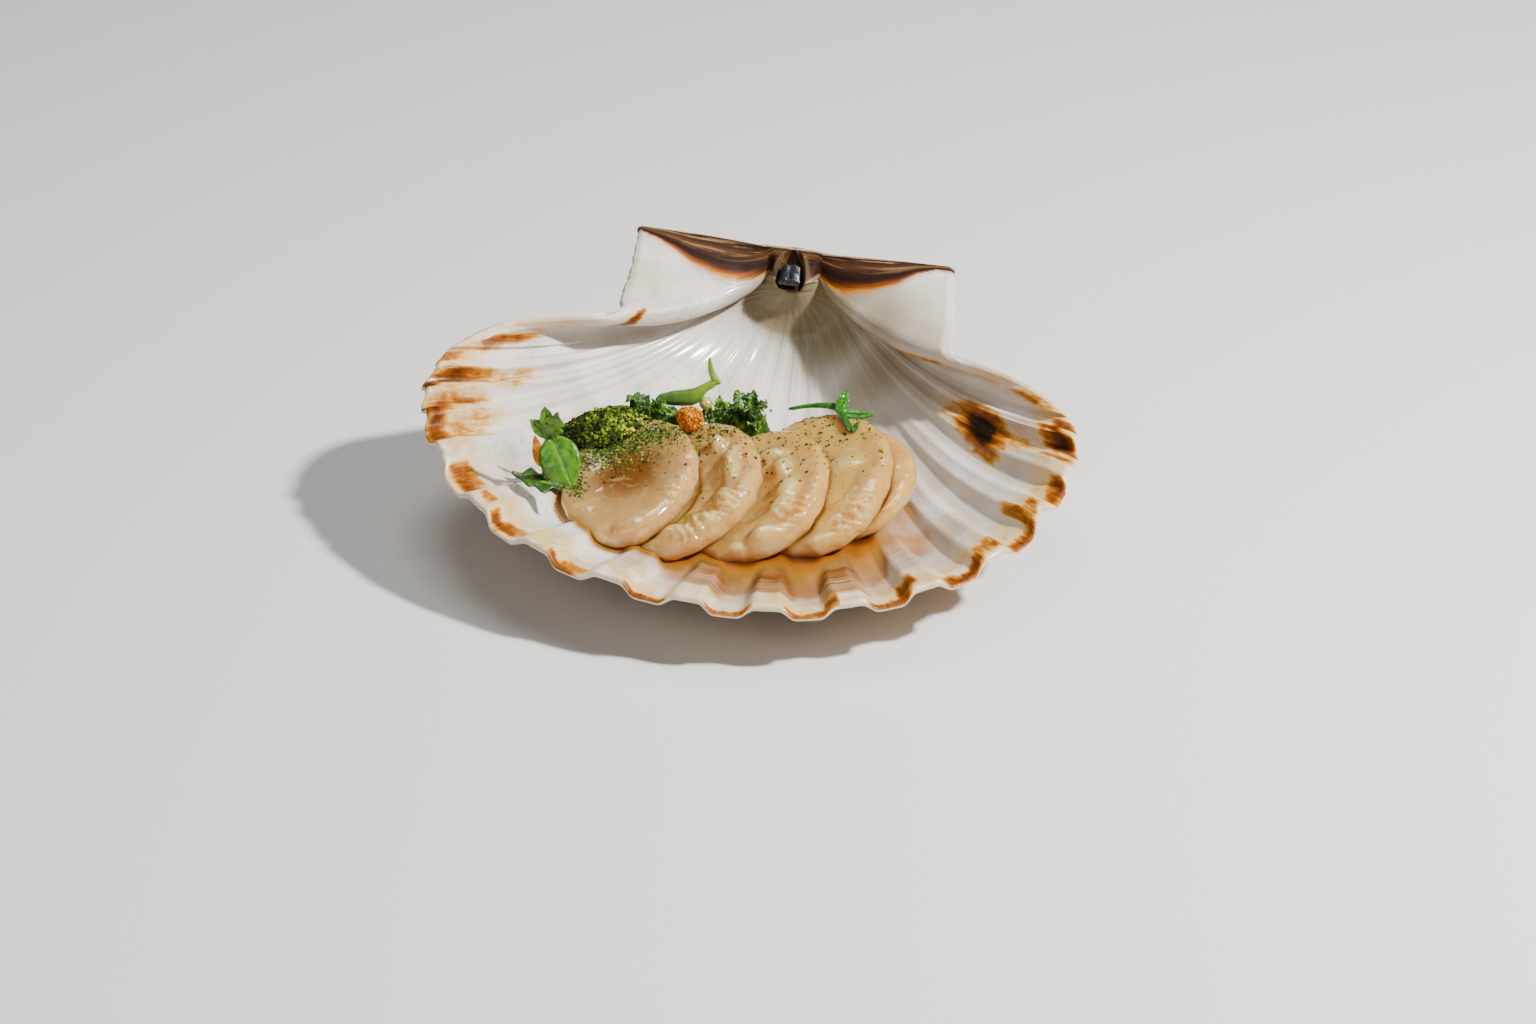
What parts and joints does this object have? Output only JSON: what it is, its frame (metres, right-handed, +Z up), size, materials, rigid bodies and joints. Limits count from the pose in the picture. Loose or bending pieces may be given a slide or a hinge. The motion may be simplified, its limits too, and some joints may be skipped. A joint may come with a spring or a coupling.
{
  "type": "dressed scallop in its half shell",
  "caption": "Deep ribbed half shell holding shingled slices of raw scallop in a pool of sauce, dressed with herb crumb, curly leaves, sprigs and a crumb ball.",
  "frame": {"origin": "on the table under the middle of the whole", "axes": "+X along the hinge towards the shell's right ear, +Y from the front margin towards the hinge, +Z up"},
  "size_m": [0.1268, 0.1114, 0.0388],
  "materials": {
    "shell": "satin, white to cream with brown growth marks",
    "ligament": "dull, nearly black",
    "flesh": "wet, translucent cream to pale apricot",
    "crumb_ball": "crumbly orange",
    "bead": "wet, translucent pale green",
    "sprout": "fresh stalk, yellow green",
    "sprig": "fresh sprig, deep green",
    "herb": "fresh leaf, bright green",
    "petal": "matt orange petal",
    "kale": "curly leaf, dark green",
    "lying_leaf": "oiled leaf, dark green",
    "herb_mound": "moss green crumb",
    "sauce": "clear brown liquid"
  },
  "bodies": {
    "root": {"shell": "shell", "ligament": "ligament", "slice_1": "flesh", "slice_2": "flesh", "slice_3": "flesh", "slice_4": "flesh", "slice_5": "flesh", "crumb_ball": "crumb_ball", "bead": "bead", "sprout": "sprout", "sprig": "sprig", "herb": "herb", "petal": "petal", "kale_left": "kale", "kale_right": "kale", "lying_leaf": "lying_leaf", "herb_mound": "herb_mound", "sauce": "sauce"}
  },
  "joints": []
}
